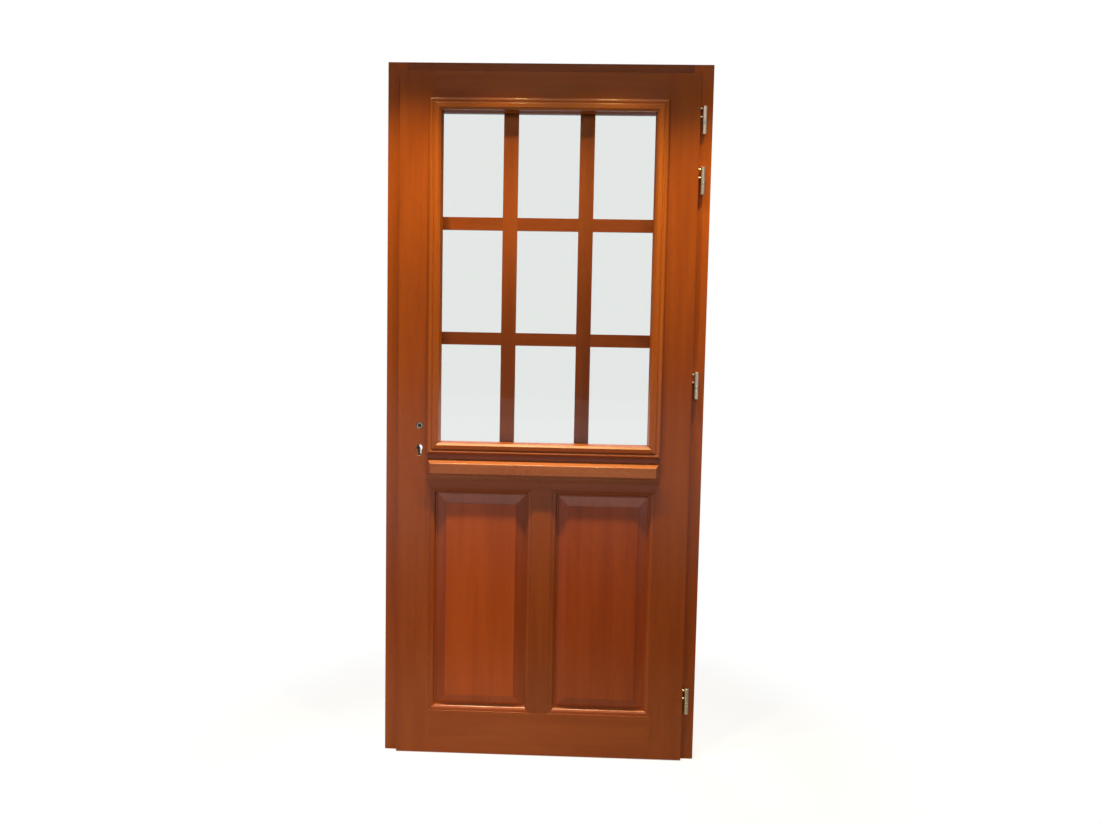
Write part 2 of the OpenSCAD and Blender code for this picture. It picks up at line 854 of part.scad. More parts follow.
module setting_blocks() {
  color(rubber) for (side = [-1, 1])
    translate([side * pane_x / 2, 0, 0])
      block(-block_l / 2, block_l / 2, glass_in_y, glass_out_y, glass_z0, pane_z0);
}

// Glazing bars, halved and scribed where they cross

module bar_section(w) {
  polygon([[-w / 2, glass_out_y], [w / 2, glass_out_y], [w / 2, back_y - bar_bevel],
           [w / 2 - bar_bevel, back_y], [bar_bevel - w / 2, back_y],
           [-w / 2, back_y - bar_bevel]]);
}

module upright_blank(x) {
  upright(far_z0, far_z1) translate([x, 0]) bar_section(bar_upright_w);
}

module level_blank(z) {
  level(-far_x, far_x) translate([0, z]) mirror([1, -1]) bar_section(bar_level_w);
}

module bar_half(y0, y1) {
  intersection() {
    board(y0, y1) rect(-far_x, far_x, far_z0, far_z1);
    children();
  }
}

module bar_upright(x) {
  color(bar_wood) difference() {
    upright_blank(x);
    for (z = [bar_lower_z, bar_upper_z]) bar_half(bar_mid_y, back_y + over) level_blank(z);
  }
}

module bar_level(z) {
  color(bar_wood) difference() {
    level_blank(z);
    for (x = [-bar_x, bar_x]) bar_half(glass_out_y - over, bar_mid_y) upright_blank(x);
  }
}

module bottom_seal() {
  color(rubber) level(-stop_x, stop_x)
    polygon([[lock_y - seal_t / 2, body_bottom], [lock_y + seal_t / 2, body_bottom],
             [lock_y + seal_t / 4, sill_h + seal_play], [lock_y - seal_t / 4, sill_h + seal_play]]);
}

// Lock

// Outline of the hole for a profile cylinder, round above and narrow below
module profile_hole(room) {
  translate([spindle_x, cylinder_z]) {
    circle(r = profile_r + room);
    rect(-profile_slot / 2 - room, profile_slot / 2 + room, profile_r - profile_h - room, 0);
  }
}

module lock_holes(y0, y1) {
  rod_y(y0, y1, spindle_x, spindle_z, hub_r + hub_play);
  board(y0, y1) profile_hole(0);
}

module lock_case() {
  y0 = lock_y - case_t / 2 + sheet_t;
  y1 = lock_y + case_t / 2;
  color(steel) difference() {
    block(case_x0, case_x1, y0, y1, case_z0, case_z1);
    block(case_x0 - over, case_x1 - sheet_t, y0 - over, y1 - sheet_t,
          case_z0 + sheet_t, case_z1 - sheet_t);
    lock_holes(y0, y1 + over);
  }
}

module lock_cover() {
  y0 = lock_y - case_t / 2;
  color(steel) difference() {
    block(case_x0, case_x1, y0, y0 + sheet_t, case_z0, case_z1);
    lock_holes(y0 - over, y0 + sheet_t + over);
  }
}

module faceplate_screw_places() {
  for (z = [face_z0 + screw_inset, face_z1 - screw_inset])
    translate([edge_x, lock_y, z]) mirror([1, 0, 0]) children();
}

// Room for a bolt through the faceplate
module bolt_window(z, h) {
  block(edge_x - over, case_x0 + over,
        lock_y - bolt_t / 2 - bolt_play, lock_y + bolt_t / 2 + bolt_play,
        z - h / 2 - bolt_play, z + h / 2 + bolt_play);
}

module lock_faceplate() {
  color(steel) difference() {
    block(edge_x, case_x0, lock_y - face_w / 2, lock_y + face_w / 2, face_z0, face_z1);
    bolt_window(latch_z, latch_h);
    bolt_window(dead_z, dead_h);
    faceplate_screw_places() plate_screw(0);
  }
}

module faceplate_screws() {
  color(steel) faceplate_screw_places() plate_screw(0);
}

// Latch bolt, bevelled on the side that meets the strike plate as the leaf closes
module latch_bolt() {
  tip_x = edge_x - latch_throw;
  root_x = edge_x + latch_root;
  tail_z = latch_z + tail_h;
  color(plated) {
    upright(latch_z - latch_h / 2, latch_z + latch_h / 2)
      polygon([[tip_x, lock_y - bolt_t / 2], [tip_x, lock_y - bolt_t / 2 + latch_nose],
               [edge_x, lock_y + bolt_t / 2], [root_x, lock_y + bolt_t / 2],
               [root_x, lock_y - bolt_t / 2]]);
    block(root_x - over, lug_x + lug_l, lock_y - tail_t / 2, lock_y + tail_t / 2, latch_z, tail_z);
    block(lug_x, lug_x + lug_l, lock_y - tail_t / 2, lock_y + tail_t / 2,
          latch_z - lug_drop, tail_z);
  }
}

// Coil spring of square wire between the latch tail and the back of the case: the twist gives
// the part of a ring its height
module latch_spring() {
  x0 = lug_x + lug_l + spring_play;
  x1 = case_x1 - sheet_t - spring_play;
  sweep = 360 * wire_d * spring_turns / (x1 - x0);
  outer = spring_d / 2;
  color(steel) translate([x0, lock_y, latch_z]) rotate([0, 90, 0])
    linear_extrude(height = x1 - x0, twist = -360 * spring_turns, slices = 16 * spring_turns, $fn = 8)
      intersection() {
        difference() {
          circle(r = outer, $fn = 24);
          circle(r = outer - wire_d, $fn = 24);
        }
        polygon([[0, 0], [spring_d, 0], [spring_d, spring_d],
                 spring_d * [cos(sweep), sin(sweep)]]);
      }
}

module dead_bolt() {
  color(plated)
    block(edge_x, edge_x + dead_l, lock_y - bolt_t / 2, lock_y + bolt_t / 2,
          dead_z - dead_h / 2, dead_z + dead_h / 2);
}

// Follower: a hub with a neck and a square hole, a collar that keeps it in the case, and an arm
module follower() {
  inside = case_t / 2 - sheet_t - collar_play;
  color(steel) difference() {
    union() {
      rod_y(face_y + neck_inset, lock_y + case_t / 2, spindle_x, spindle_z, hub_r);
      rod_y(lock_y - inside, lock_y + inside, spindle_x, spindle_z, collar_r);
      block(spindle_x - tip_r, spindle_x + tip_r, lock_y - tail_t / 2, lock_y + tail_t / 2,
            spindle_z, spindle_z + lever_r);
      rod_y(lock_y - tail_t / 2, lock_y + tail_t / 2, spindle_x, spindle_z + lever_r, tip_r);
    }
    board(face_y, lock_y + case_t)
      translate([spindle_x, spindle_z]) square(square_w, center = true);
  }
}

// Hinges, each placed by the height of its middle

module at_hinge(z, from_top) {
  translate([hinge_x, hinge_y, z + hinge_l / 2 - from_top]) children();
}

module upper_arms(z, r, grip) {
  for (drop = [arm_inset, arm_inset + upper_arm_pitch])
    rod_x(lip_x - grip, hinge_x - arm_start, hinge_y, z + hinge_l / 2 - drop, r);
}

module lower_arms(z, r, grip) {
  for (rise = [arm_inset, arm_inset + lower_arm_pitch])
    rod_y(hinge_y + arm_start, room_y + grip, hinge_x, z - hinge_l / 2 + rise, r);
}

module hinge_leaf_knuckle(z) {
  bore = pin_r + pin_play;
  roof = upper_l - knuckle_end;
  color(plated) {
    at_hinge(z, upper_l) rotate_extrude()
      polygon([[bore, 0], [barrel_r - edge_bevel, 0], [barrel_r, edge_bevel],
               [barrel_r, upper_l - edge_bevel], [barrel_r - edge_bevel, upper_l], [0, upper_l],
               [0, roof], [bore, roof]]);
    upper_arms(z, arm_d / 2, arm_grip);
  }
}

module hinge_ring(z) {
  bore = pin_r + pin_play;
  top = ring_l - ring_play;
  color(steel) at_hinge(z, upper_l + ring_l) rotate_extrude()
    polygon([[bore, 0], [barrel_r - edge_bevel, 0], [barrel_r, edge_bevel],
             [barrel_r, top - edge_bevel], [barrel_r - edge_bevel, top], [bore, top]]);
}

module hinge_frame_knuckle(z) {
  bore = pin_r + pin_play / 2;
  color(plated) {
    at_hinge(z, hinge_l) rotate_extrude()
      polygon([[0, 0], [barrel_r - edge_bevel, 0], [barrel_r, edge_bevel],
               [barrel_r, lower_l - edge_bevel], [barrel_r - edge_bevel, lower_l],
               [bore, lower_l], [bore, knuckle_end], [0, knuckle_end]]);
    lower_arms(z, arm_d / 2, arm_grip);
  }
}

module hinge_pin(z) {
  color(steel) at_hinge(z, hinge_l - knuckle_end)
    cylinder(r = pin_r, h = hinge_l - 2 * knuckle_end - ring_play);
}

jamb_left();
jamb_right();
frame_head();
threshold();
gasket_left();
gasket_right();
gasket_head();
strike_plate();
strike_screws();
stile_lock();
stile_hinge();
rail_top();
rail_middle();
rail_bottom();
mullion();
panel_left();
panel_right();
dado_moulding();
bead_top();
bead_bottom();
bead_left();
bead_right();
glass_inner();
glass_outer();
glass_spacer();
setting_blocks();
bar_upright(-bar_x);  // bar_upright_left
bar_upright(bar_x);  // bar_upright_right
bar_level(bar_upper_z);  // bar_level_upper
bar_level(bar_lower_z);  // bar_level_lower
bottom_seal();
lock_case();
lock_cover();
lock_faceplate();
faceplate_screws();
latch_bolt();
latch_spring();
dead_bolt();
follower();
hinge_leaf_knuckle(hinge_top_z);  // hinge_top_leaf_knuckle
hinge_ring(hinge_top_z);  // hinge_top_ring
hinge_frame_knuckle(hinge_top_z);  // hinge_top_frame_knuckle
hinge_pin(hinge_top_z);  // hinge_top_pin
hinge_leaf_knuckle(hinge_second_z);  // hinge_second_leaf_knuckle
hinge_ring(hinge_second_z);  // hinge_second_ring
hinge_frame_knuckle(hinge_second_z);  // hinge_second_frame_knuckle
hinge_pin(hinge_second_z);  // hinge_second_pin
hinge_leaf_knuckle(hinge_middle_z);  // hinge_middle_leaf_knuckle
hinge_ring(hinge_middle_z);  // hinge_middle_ring
hinge_frame_knuckle(hinge_middle_z);  // hinge_middle_frame_knuckle
hinge_pin(hinge_middle_z);  // hinge_middle_pin
hinge_leaf_knuckle(hinge_bottom_z);  // hinge_bottom_leaf_knuckle
hinge_ring(hinge_bottom_z);  // hinge_bottom_ring
hinge_frame_knuckle(hinge_bottom_z);  // hinge_bottom_frame_knuckle
hinge_pin(hinge_bottom_z);  // hinge_bottom_pin
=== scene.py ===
"""Looks of a glazed wooden front door in its frame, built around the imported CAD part."""

import json
import math

import bpy
from bpy.props import FloatProperty, FloatVectorProperty, PointerProperty
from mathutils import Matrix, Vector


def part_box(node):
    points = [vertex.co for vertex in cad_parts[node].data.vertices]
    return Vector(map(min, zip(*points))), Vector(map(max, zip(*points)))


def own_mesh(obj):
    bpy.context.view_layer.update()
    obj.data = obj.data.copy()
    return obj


bl_info = {
    "name": "Glazed Front Door",
    "version": (1, 0, 0),
    "blender": (4, 5, 0),
    "location": "View3D > Sidebar > Door",
    "description": "Materials, light and camera for a glazed wooden front door",
    "category": "Object",
}

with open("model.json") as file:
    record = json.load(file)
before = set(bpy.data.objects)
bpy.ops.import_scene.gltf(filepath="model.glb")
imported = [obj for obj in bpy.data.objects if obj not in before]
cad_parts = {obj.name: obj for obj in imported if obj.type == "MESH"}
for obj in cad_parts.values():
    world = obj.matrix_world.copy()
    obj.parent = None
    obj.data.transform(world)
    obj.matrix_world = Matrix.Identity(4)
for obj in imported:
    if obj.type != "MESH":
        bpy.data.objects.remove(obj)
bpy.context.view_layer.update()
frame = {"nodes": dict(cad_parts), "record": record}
MOUNTS = {mount["name"]: mount["pos_m"] for mount in frame["record"]["mounts"]}

# Nodes that share a material

HINGES = ("top", "second", "middle", "bottom")
LEAF_UPRIGHT = ("stile_hinge", "mullion")
LEAF_LEVEL = ("rail_top", "rail_middle", "rail_bottom")
BEAD_UPRIGHT = ("bead_left", "bead_right")
BAR_UPRIGHT = ("bar_upright_left", "bar_upright_right")
BAR_LEVEL = ("bar_level_upper", "bar_level_lower")
PANES = ("glass_inner", "glass_outer")
PLATED = tuple(f"hinge_{h}_{part}" for h in HINGES for part in ("leaf_knuckle", "frame_knuckle"))
RINGS = tuple(f"hinge_{h}_{part}" for h in HINGES for part in ("ring", "pin"))
LOCK_STEEL = (
    "lock_case",
    "lock_cover",
    "lock_faceplate",
    "faceplate_screws",
    "strike_plate",
    "strike_screws",
    "latch_spring",
    "latch_bolt",
    "dead_bolt",
)
SEALS = (
    "gasket_left",
    "gasket_right",
    "gasket_head",
    "glass_spacer",
    "setting_blocks",
    "bottom_seal",
)

# Sizes in metres around the lock

BORE_HALF_WIDTH = 0.0125
BORE_ABOVE_SPINDLE = 0.019
BORE_BELOW_CYLINDER = 0.031
FACE_MARGIN = 0.0012
SPINDLE_HALF = 0.0046

# Finishes, with some painted light and shade

GRAIN_SHIFT = {"X": 7.0, "Y": 13.0, "Z": 3.0}
FIGURE_SHARE = 0.4
PORE_COLOUR = (0.05, 0.012, 0.004)
# Pale edges: worn varnish, and on the dado's widened edge a painted highlight of its nose
WORN_EDGE_AND_HIGHLIGHT_COLOUR = (0.6, 0.2, 0.06)
DUST_COLOUR = (0.5, 0.42, 0.34)
RAW_WOOD_DARK = (0.3, 0.2, 0.11)
RAW_WOOD_LIGHT = (0.62, 0.47, 0.3)
BRIGHT_EDGE_COLOUR = (0.85, 0.83, 0.8)
# Painted shade inside the square hole of the follower
HOLE_SHADE_COLOUR = (0.02, 0.017, 0.012)
RUBBER_COLOUR = (0.012, 0.011, 0.01)
BLOOM_COLOUR = (0.04, 0.038, 0.035)
FIBRE_SHARE = 0.28
WORN_EDGE_AND_HIGHLIGHT_SHARE = 0.3
DUST_SHARE = 0.06
PIECE_VARIATION = 0.1
VARNISH_PATCHES = 0.02
PORE_ROUGHNESS = 0.15
RAW_ROUGHNESS = 0.5
COAT_ROUGHNESS = 0.13
DADO_WEAR = 0.06
# Widens the dado's eased edges and their pale band, which paints the highlight of its nose
DADO_EASE_AND_NOSE_HIGHLIGHT = 3.0
SILL_WEAR = 0.2
METAL_EDGE = 0.0006
MARK_SCALE = 1800.0
MARK_SHADE = 0.7
MARK_SHARE = 0.25
BRIGHT_EDGE_SHARE = 0.5
LOCK_DULLER = 0.06
THRESHOLD_DULLER = 0.1

# Stage: lamps stand in metres, and their shares are of the power in the settings

FLOOR_SIDE = 40.0
FLOOR_GREY = (0.35, 0.35, 0.35)
FLOOR_NEAR = 0.6
FLOOR_FAR = 1.5
FLOOR_MIRRORED = 5.0
WHITE = (1.0, 1.0, 1.0)
BLACK = (0.0, 0.0, 0.0)
# Place along x, share of the spot power and share of the beam power
CEILING_SPOTS = (
    (-0.45, 1.02, 1.1),
    (-0.12, 1.0, 0.86),
    (0.2, 0.88, 0.45),
    (0.6, 0.95, 0.3),
)
CEILING_HEIGHT = 2.42
SPOT_Y = -0.36
SPOT_AIM_Y = -0.32
SPOT_CONE = math.radians(86)
BEAM_CONE = math.radians(34)
BULB_RADIUS = 0.03
SPOT_COLOUR = (1.0, 0.88, 0.33)
BEAM_COLOUR = (1.0, 0.9, 0.7)
COOL_FILL = (1.0, 0.98, 1.12)
WARM_FILL = (0.96, 1.0, 0.34)
FILL_SIDE = 0.8
# Name, place, aim, share of the fill power and colour
FILLS = (
    ("left_fill", (-1.0, -0.95, 0.35), (-0.2, 0.0, 0.5), 0.68, COOL_FILL),
    ("right_fill", (1.7, -1.5, 0.9), (0.4, 0.0, 0.85), 0.35, COOL_FILL),
    ("top_fill", (0.1, -1.5, 2.1), (0.0, 0.0, 2.0), 1.02, WARM_FILL),
    ("back_fill", (-0.6, 2.6, 2.0), (0.0, 0.0, 1.1), 5.0, COOL_FILL),
)
MIRRORED_FILL = "right_fill"
# The ceiling as mirrored in the varnish: heights run from 0 at the horizon to 1 overhead
GLOW_START = (0.375, 0.39)
GLOW_END = (0.5, 0.7)
GLOW_BELOW = 0.04
GLOW_STRENGTH = 2.9
GLOW_LEFT_OVERHEAD = 0.2
SENSOR_WIDTH = 36.0


# Settings

COLOUR = {"subtype": "COLOR", "size": 3, "min": 0.0, "max": 1.0}
TINT = {"size": 3, "min": 0.0, "max": 5.0}
SHARE = {"subtype": "FACTOR", "min": 0.0, "max": 1.0}
LENGTH = {"subtype": "DISTANCE", "unit": "LENGTH", "min": 0.0, "max": 0.005}
POWER = {"subtype": "POWER", "unit": "POWER", "min": 0.0, "max": 500.0}


class DoorWoodSettings(bpy.types.PropertyGroup):
    """Colour and finish of the varnished wood, with painted light and shade on some of its pieces"""

    light: FloatVectorProperty(
        name="Light Wood",
        description="Colour of the paler growth bands",
        default=(0.41, 0.080, 0.0115),
        **COLOUR,
    )
    dark: FloatVectorProperty(
        name="Dark Wood",
        description="Colour of the darker growth bands",
        default=(0.32, 0.057, 0.0075),
        **COLOUR,
    )
    # Painted light: the jamb tints brighten the jambs' wood in place of light falling on them
    jamb_left_painted_light: FloatVectorProperty(
        name="Left Jamb Tint",
        description="How the wood of the left jamb differs from the rest",
        default=(1.06, 1.06, 1.0),
        **TINT,
    )
    jamb_right_painted_light: FloatVectorProperty(
        name="Right Jamb Tint",
        description="How the wood of the right jamb differs from the rest",
        default=(1.378, 1.378, 1.3),
        **TINT,
    )
    # Painted shade: the head's wood is darkened where little of the lamps' light reaches it
    head_painted_shade: FloatVectorProperty(
        name="Head Tint",
        description="How the wood of the frame's head differs from the rest",
        default=(0.72, 0.7, 0.62),
        **TINT,
    )
    panel_left_tint: FloatVectorProperty(
        name="Left Panel Tint",
        description="How the wood of the left panel differs from the rest",
        default=(1.32, 1.12, 1.0),
        **TINT,
    )
    # Painted shade: the left panel's sloped border is darkened as if less light falls on it
    panel_left_border_painted_shade: FloatProperty(
        name="Left Panel Border",
        description="How bright the bevelled border of the left panel is beside its field",
        default=0.74,
        **SHARE,
    )
    panel_right_tint: FloatVectorProperty(
        name="Right Panel Tint",
        description="How the wood of the right panel differs from the rest",
        default=(1.2, 1.0, 1.0),
        **TINT,
    )
    # Painted sheen: the beads are paler and bluer in place of the varnish's reflection
    bead_painted_sheen: FloatVectorProperty(
        name="Bead Tint",
        description="How the wood of the glazing beads differs from the rest",
        default=(1.2, 1.4, 1.6),
        **TINT,
    )
    # Painted shade: the bead under the glass is darkened
    sill_painted_shade: FloatVectorProperty(
        name="Sill Bead Tint",
        description="How the wood of the bead under the glass differs from the rest",
        default=(0.85, 0.85, 0.8),
        **TINT,
    )
    # Painted sheen: the dado is paler and much bluer in place of the varnish's reflection on it
    dado_painted_sheen: FloatVectorProperty(
        name="Dado Tint",
        description="How the wood of the dado moulding differs from the rest",
        default=(1.12, 1.65, 4.8),
        **TINT,
    )
    # Painted light: the bars behind the glass are brightened in place of light that the glass holds back
    bar_painted_light: FloatVectorProperty(
        name="Bar Tint",
        description="How the wood of the glazing bars differs from the rest",
        default=(1.6, 1.5, 1.4),
        **TINT,
    )
    roughness: FloatProperty(
        name="Varnish Roughness",
        description="Roughness of the satin varnish",
        default=0.2,
        **SHARE,
    )
    pore: FloatProperty(
        name="Pores",
        description="How dark the pores of the wood are",
        default=0.5,
        **SHARE,
    )
    edge: FloatProperty(
        name="Edge Rounding",
        description="Radius that the sharp edges are eased to",
        default=0.0012,
        **LENGTH,
    )
    relief: FloatProperty(
        name="Grain Relief",
        description="Depth of the grain that still shows through the varnish",
        default=0.00012,
        **LENGTH,
    )


class DoorMetalSettings(bpy.types.PropertyGroup):
    """Colour and finish of hinges, lock and threshold"""

    plated: FloatVectorProperty(
        name="Plating",
        description="Colour of the satin plating on the hinges",
        default=(0.7, 0.58, 0.44),
        **COLOUR,
    )
    steel: FloatVectorProperty(
        name="Steel",
        description="Colour of the plain steel of the lock",
        default=(0.5, 0.48, 0.4),
        **COLOUR,
    )
    aluminium: FloatVectorProperty(
        name="Aluminium",
        description="Colour of the threshold",
        default=(0.62, 0.62, 0.61),
        **COLOUR,
    )
    roughness: FloatProperty(
        name="Metal Roughness",
        description="Roughness of the satin metal",
        default=0.34,
        **SHARE,
    )


class DoorGlassSettings(bpy.types.PropertyGroup):
    """Look of the panes"""

    tint: FloatVectorProperty(
        name="Glass Tint",
        description="Colour of the clear glass",
        default=(0.9, 0.915, 0.905),
        **COLOUR,
    )
    ior: FloatProperty(
        name="Refraction",
        description="Index of refraction of the glass",
        min=1.0,
        max=2.0,
        default=1.45,
    )


class DoorStageSettings(bpy.types.PropertyGroup):
    """Camera, lamps and ambient light"""

    camera: FloatVectorProperty(
        name="Camera Place",
        description="Where the camera stands",
        subtype="TRANSLATION",
        unit="LENGTH",
        size=3,
        default=(0.1023, -2.709, 1.3095),
    )
    camera_turn: FloatVectorProperty(
        name="Camera Turn",
        description="How the camera is turned",
        subtype="EULER",
        size=3,
        default=(math.radians(85.8252), math.radians(-1.1011), math.radians(1.8694)),
    )
    lens: FloatProperty(
        name="Lens",
        description="Focal length for a sensor 36 mm wide",
        subtype="DISTANCE_CAMERA",
        unit="CAMERA",
        min=10.0,
        max=100.0,
        default=27.818,
    )
    spot_watts: FloatProperty(
        name="Spot Power",
        description="Power of a ceiling spot",
        default=46.0,
        **POWER,
    )
    beam_watts: FloatProperty(
        name="Beam Power",
        description="Power of the narrow beam in the middle of a ceiling spot",
        default=60.0,
        **POWER,
    )
    fill_watts: FloatProperty(
        name="Fill Power",
        description="Power that the soft lamps in front and behind take their shares of",
        default=5.5,
        **POWER,
    )
    sky: FloatProperty(
        name="Ambient",
        description="Strength of the light from all around",
        min=0.0,
        max=2.0,
        default=0.09,
    )


# Shader node helpers


class Nodes:
    """A short way to add and link the nodes of one tree"""

    def __init__(self, tree):
        self.tree = tree

    def add(self, kind, **settings):
        node = self.tree.nodes.new(kind)
        for key, value in settings.items():
            setattr(node, key, value)
        return node

    def feed(self, socket, value):
        """Links an output to the socket, or sets the socket's own value"""
        if hasattr(value, "is_output"):
            self.tree.links.new(value, socket)
        elif socket.type == "RGBA":
            socket.default_value = (*value, 1.0)
        else:
            socket.default_value = value

    def put(self, node, **values):
        """Feeds inputs by their names, with _ for a space"""
        for key, value in values.items():
            self.feed(node.inputs[key.replace("_", " ")], value)
        return node

    def group(self, tree, **values):
        """Places a node group and feeds its inputs"""
        return self.put(self.add("ShaderNodeGroup", node_tree=tree), **values)

    def math(self, operation, *values, clamp=False):
        node = self.add("ShaderNodeMath", operation=operation, use_clamp=clamp)
        for socket, value in zip(node.inputs, values):
            self.feed(socket, value)
        return node.outputs["Value"]

    def vector(self, operation, *values):
        node = self.add("ShaderNodeVectorMath", operation=operation)
        for socket, value in zip(node.inputs, values):
            self.feed(socket, value)
        return node.outputs["Value" if operation in ("DOT_PRODUCT", "LENGTH") else "Vector"]

    def split(self, vector):
        """The outputs X, Y and Z of a vector"""
        return self.put(self.add("ShaderNodeSeparateXYZ"), Vector=vector).outputs

    def ramp(self, value, low, high, to_low=0.0, to_high=1.0):
        """Runs smoothly from to_low at the value low to to_high at the value high"""
        node = self.add("ShaderNodeMapRange", interpolation_type="SMOOTHSTEP")
        self.put(node, Value=value, From_Min=low, From_Max=high, To_Min=to_low, To_Max=to_high)
        return node.outputs["Result"]

    def noise(self, vector, scale, detail=2.0, rough=0.5, distort=0.0):
        node = self.add("ShaderNodeTexNoise")
        self.put(node, Vector=vector, Scale=scale, Detail=detail, Roughness=rough, Distortion=distort)
        return node.outputs["Fac"]

    def stretched(self, vector, stretch, **noise):
        """Noise that is drawn out where the factors of stretch are small"""
        return self.noise(self.vector("MULTIPLY", vector, stretch), **noise)

    def mix(self, factor, a, b, blend="MIX"):
        """Mixes two colours, which a Mix node takes at its inputs 6 and 7"""
        node = self.add("ShaderNodeMix", data_type="RGBA", blend_type=blend)
        for index, value in ((0, factor), (6, a), (7, b)):
            self.feed(node.inputs[index], value)
        return node.outputs[2]

    def bump(self, height, strength, distance, **normal):
        node = self.add("ShaderNodeBump")
        self.put(node, Height=height, Strength=strength, Distance=distance, **normal)
        return node.outputs["Normal"]


def new_group(name, inputs, outputs):
    """A shader node group and the Nodes to fill it with, which is None where the group is there already"""
    if name in bpy.data.node_groups:
        return bpy.data.node_groups[name], None
    group = bpy.data.node_groups.new(name, "ShaderNodeTree")
    for label, kind in inputs.items():
        group.interface.new_socket(label, in_out="INPUT", socket_type=kind)
    for label, kind in outputs.items():
        group.interface.new_socket(label, in_out="OUTPUT", socket_type=kind)
    return group, Nodes(group)


def grain_group():
    """Growth bands, fibres and pores of wood whose grain runs along z"""
    group, n = new_group(
        "Wood Grain",
        {"Place": "NodeSocketVector"},
        {"Band": "NodeSocketFloat", "Fibre": "NodeSocketFloat", "Pore": "NodeSocketFloat"},
    )
    if n is None:
        return group
    place = n.add("NodeGroupInput").outputs["Place"]
    band = n.stretched(place, (1.0, 1.0, 0.05), scale=34.0, detail=3.0, rough=0.55, distort=0.35)
    figure = n.stretched(place, (1.0, 1.0, 0.16), scale=9.0, distort=0.6)
    fibre = n.stretched(place, (1.0, 1.0, 0.012), scale=420.0, detail=3.0, rough=0.6)
    dash = n.stretched(place, (1.0, 1.0, 0.05), scale=900.0, detail=1.0)
    band = n.math("MULTIPLY", band, 1.0 - FIGURE_SHARE)
    band = n.math("ADD", band, n.math("MULTIPLY", figure, FIGURE_SHARE))
    n.put(n.add("NodeGroupOutput"), Band=band, Fibre=fibre, Pore=n.ramp(dash, 0.62, 0.72))
    return group


def edge_group():
    """Eased normal and a mask of the edges"""
    group, n = new_group(
        "Eased Edge",
        {"Radius": "NodeSocketFloat"},
        {"Mask": "NodeSocketFloat", "Normal": "NodeSocketVector"},
    )
    if n is None:
        return group
    bevel = n.add("ShaderNodeBevel", samples=4)
    n.put(bevel, Radius=n.add("NodeGroupInput").outputs["Radius"])
    eased = bevel.outputs["Normal"]
    sharp = n.add("ShaderNodeNewGeometry").outputs["Normal"]
    mask = n.ramp(n.vector("DOT_PRODUCT", eased, sharp), 0.98, 0.8)
    n.put(n.add("NodeGroupOutput"), Mask=mask, Normal=eased)
    return group


def handling_group():
    """Patchy sheen from handling, and dust on what faces up"""
    group, n = new_group(
        "Handling",
        {"Place": "NodeSocketVector"},
        {"Sheen": "NodeSocketFloat", "Dust": "NodeSocketFloat"},
    )
    if n is None:
        return group
    place = n.add("NodeGroupInput").outputs["Place"]
    sheen = n.ramp(n.noise(place, scale=7.0, detail=4.0, rough=0.6, distort=0.3), 0.35, 0.7)
    upward = n.ramp(n.split(n.add("ShaderNodeNewGeometry").outputs["Normal"])["Z"], 0.6, 1.0)
    patch = n.ramp(n.noise(place, scale=60.0, detail=3.0, rough=0.6), 0.3, 0.75)
    n.put(n.add("NodeGroupOutput"), Sheen=sheen, Dust=n.math("MULTIPLY", upward, patch))
    return group


def box_group():
    """A mask of what lies within a box"""
    group, n = new_group(
        "Box Mask",
        {"Place": "NodeSocketVector", "Centre": "NodeSocketVector", "Half Size": "NodeSocketVector"},
        {"Mask": "NodeSocketFloat"},
    )
    if n is None:
        return group
    given = n.add("NodeGroupInput").outputs
    offset = n.vector("SUBTRACT", given["Place"], given["Centre"])
    share = n.split(n.vector("ABSOLUTE", n.vector("DIVIDE", offset, given["Half Size"])))
    most = n.math("MAXIMUM", n.math("MAXIMUM", share["X"], share["Y"]), share["Z"])
    n.put(n.add("NodeGroupOutput"), Mask=n.ramp(most, 0.98, 1.0, to_low=1.0, to_high=0.0))
    return group


def flat_group():
    """A mask of what faces straight to the front, straight to the back or downwards"""
    group, n = new_group("Flat Mask", {}, {"Mask": "NodeSocketFloat"})
    if n is None:
        return group
    normal = n.split(n.add("ShaderNodeNewGeometry").outputs["True Normal"])
    upright = n.ramp(n.math("ABSOLUTE", normal["Y"]), 0.965, 0.985)
    downward = n.ramp(normal["Z"], -0.1, -0.2)
    n.put(n.add("NodeGroupOutput"), Mask=n.math("MAXIMUM", upright, downward))
    return group


# Boxes around the holes of the lock


def middle_and_half(low, high):
    """Centre and half size of the box between two corners"""
    centre = [(a + b) / 2 for a, b in zip(low, high)]
    half = [(b - a) / 2 for a, b in zip(low, high)]
    return centre, half


def lock_bores():
    """Box around both bores of the lock stile, a margin short of its two faces"""
    low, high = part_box("stile_lock")
    x, _, spindle_z = MOUNTS["spindle_square"]
    cylinder_z = MOUNTS["cylinder_hole"][2]
    return middle_and_half(
        (x - BORE_HALF_WIDTH, low[1] + FACE_MARGIN, cylinder_z - BORE_BELOW_CYLINDER),
        (x + BORE_HALF_WIDTH, high[1] - FACE_MARGIN, spindle_z + BORE_ABOVE_SPINDLE),
    )


def spindle_hole():
    """Box around the square hole, right through the follower"""
    low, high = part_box("follower")
    x, _, z = MOUNTS["spindle_square"]
    return middle_and_half(
        (x - SPINDLE_HALF, low[1] - FACE_MARGIN, z - SPINDLE_HALF),
        (x + SPINDLE_HALF, high[1] + FACE_MARGIN, z + SPINDLE_HALF),
    )


# Materials


def new_material(name):
    """A material with a Principled shader, and a Nodes to add to it"""
    material = bpy.data.materials.new(name)
    material.use_nodes = True
    material.node_tree.nodes.clear()
    n = Nodes(material.node_tree)
    shader = n.add("ShaderNodeBsdfPrincipled")
    n.put(n.add("ShaderNodeOutputMaterial", name="Output"), Surface=shader.outputs["BSDF"])
    return material, n, shader


def object_place(n):
    return n.add("ShaderNodeTexCoord").outputs["Object"]


